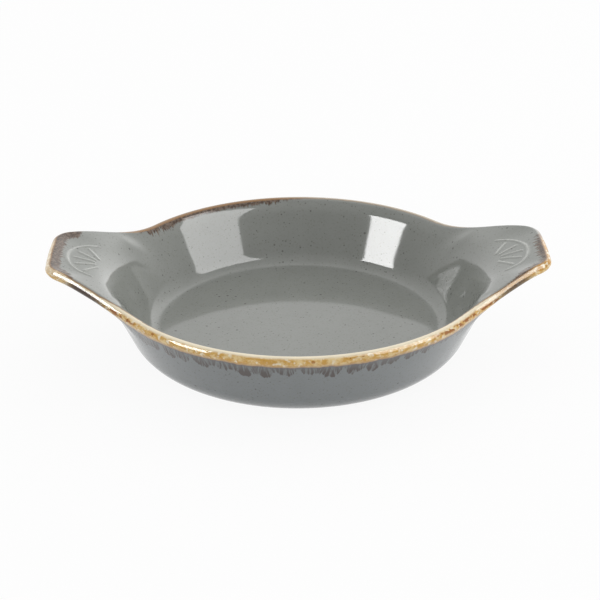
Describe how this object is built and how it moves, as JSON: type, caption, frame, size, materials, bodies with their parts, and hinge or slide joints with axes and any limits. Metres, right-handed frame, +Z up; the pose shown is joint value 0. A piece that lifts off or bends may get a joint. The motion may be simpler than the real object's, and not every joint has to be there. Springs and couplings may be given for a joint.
{
  "type": "two-handled serving dish",
  "caption": "Round shallow glazed stoneware baking and serving dish on a low foot ring, with two broad upswept ear handles moulded into its wall.",
  "frame": {"origin": "on the table plane, under the middle of the foot ring", "axes": "+X from the left ear to the right ear, +Y away from the viewer, +Z up out of the dish"},
  "size_m": [0.25, 0.1942, 0.052],
  "materials": {
    "clay": "fired stoneware body, covered by glaze",
    "bare_foot": "bare fired stoneware, dry and slightly rough",
    "inside_glaze": "glossy storm-grey glaze with fine dark specks",
    "outside_glaze": "glossy slate-grey glaze with fine dark specks",
    "edge_glaze": "glossy broken amber and cream band that feathers into brown"
  },
  "bodies": {
    "root": {"bowl": "clay", "foot_ring": "bare_foot", "left_handle": "clay", "right_handle": "clay", "inner_glaze": "inside_glaze", "outer_glaze": "outside_glaze", "rim_glaze": "edge_glaze", "well_glaze": "outside_glaze"}
  },
  "joints": []
}
